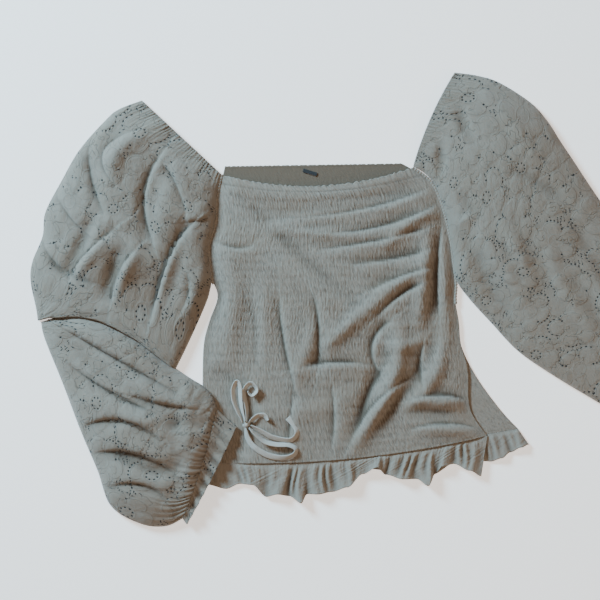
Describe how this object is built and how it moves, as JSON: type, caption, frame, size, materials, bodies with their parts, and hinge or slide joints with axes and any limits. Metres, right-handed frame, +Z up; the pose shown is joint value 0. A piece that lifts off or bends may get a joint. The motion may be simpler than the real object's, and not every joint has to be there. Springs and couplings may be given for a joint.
{
  "type": "off-shoulder top",
  "caption": "Off-shoulder top with a shirred cotton body, frilled hem and puffed lace sleeves tied at the cuffs, laid flat on its back.",
  "frame": {"origin": "on the underside of the body's back, near its middle, at floor level", "axes": "+X across the body towards the right of the view, +Y to the neckline, +Z up from the floor"},
  "size_m": [0.99, 0.6334, 0.0348],
  "materials": {
    "shirred_cotton": "fine crinkled shirring on elastic rows",
    "plain_cotton": "soft plain weave, gathered",
    "cotton_lace": "floral cotton lace with corded outlines and small holes",
    "tie_tape": "flat woven tape",
    "dark_label": "bare satin tape"
  },
  "bodies": {
    "root": {"back_panel": "shirred_cotton", "front_panel": "shirred_cotton", "back_frill": "plain_cotton", "front_frill": "plain_cotton", "left_sleeve_upper": "cotton_lace", "left_sleeve_forearm": "cotton_lace", "left_cuff_frill": "cotton_lace", "left_tie_knot": "tie_tape", "left_tie_loop_upper": "tie_tape", "left_tie_loop_lower": "tie_tape", "left_tie_tail_curled": "tie_tape", "left_tie_tail_short": "tie_tape", "left_tie_tail_long": "tie_tape", "right_sleeve": "cotton_lace", "right_cuff_frill": "cotton_lace", "right_tie_knot": "tie_tape", "right_tie_lead": "tie_tape", "right_tie_loop_upper": "tie_tape", "right_tie_loop_lower": "tie_tape", "right_tie_tail_short": "tie_tape", "right_tie_tail_long": "tie_tape", "neck_label": "dark_label"}
  },
  "joints": []
}
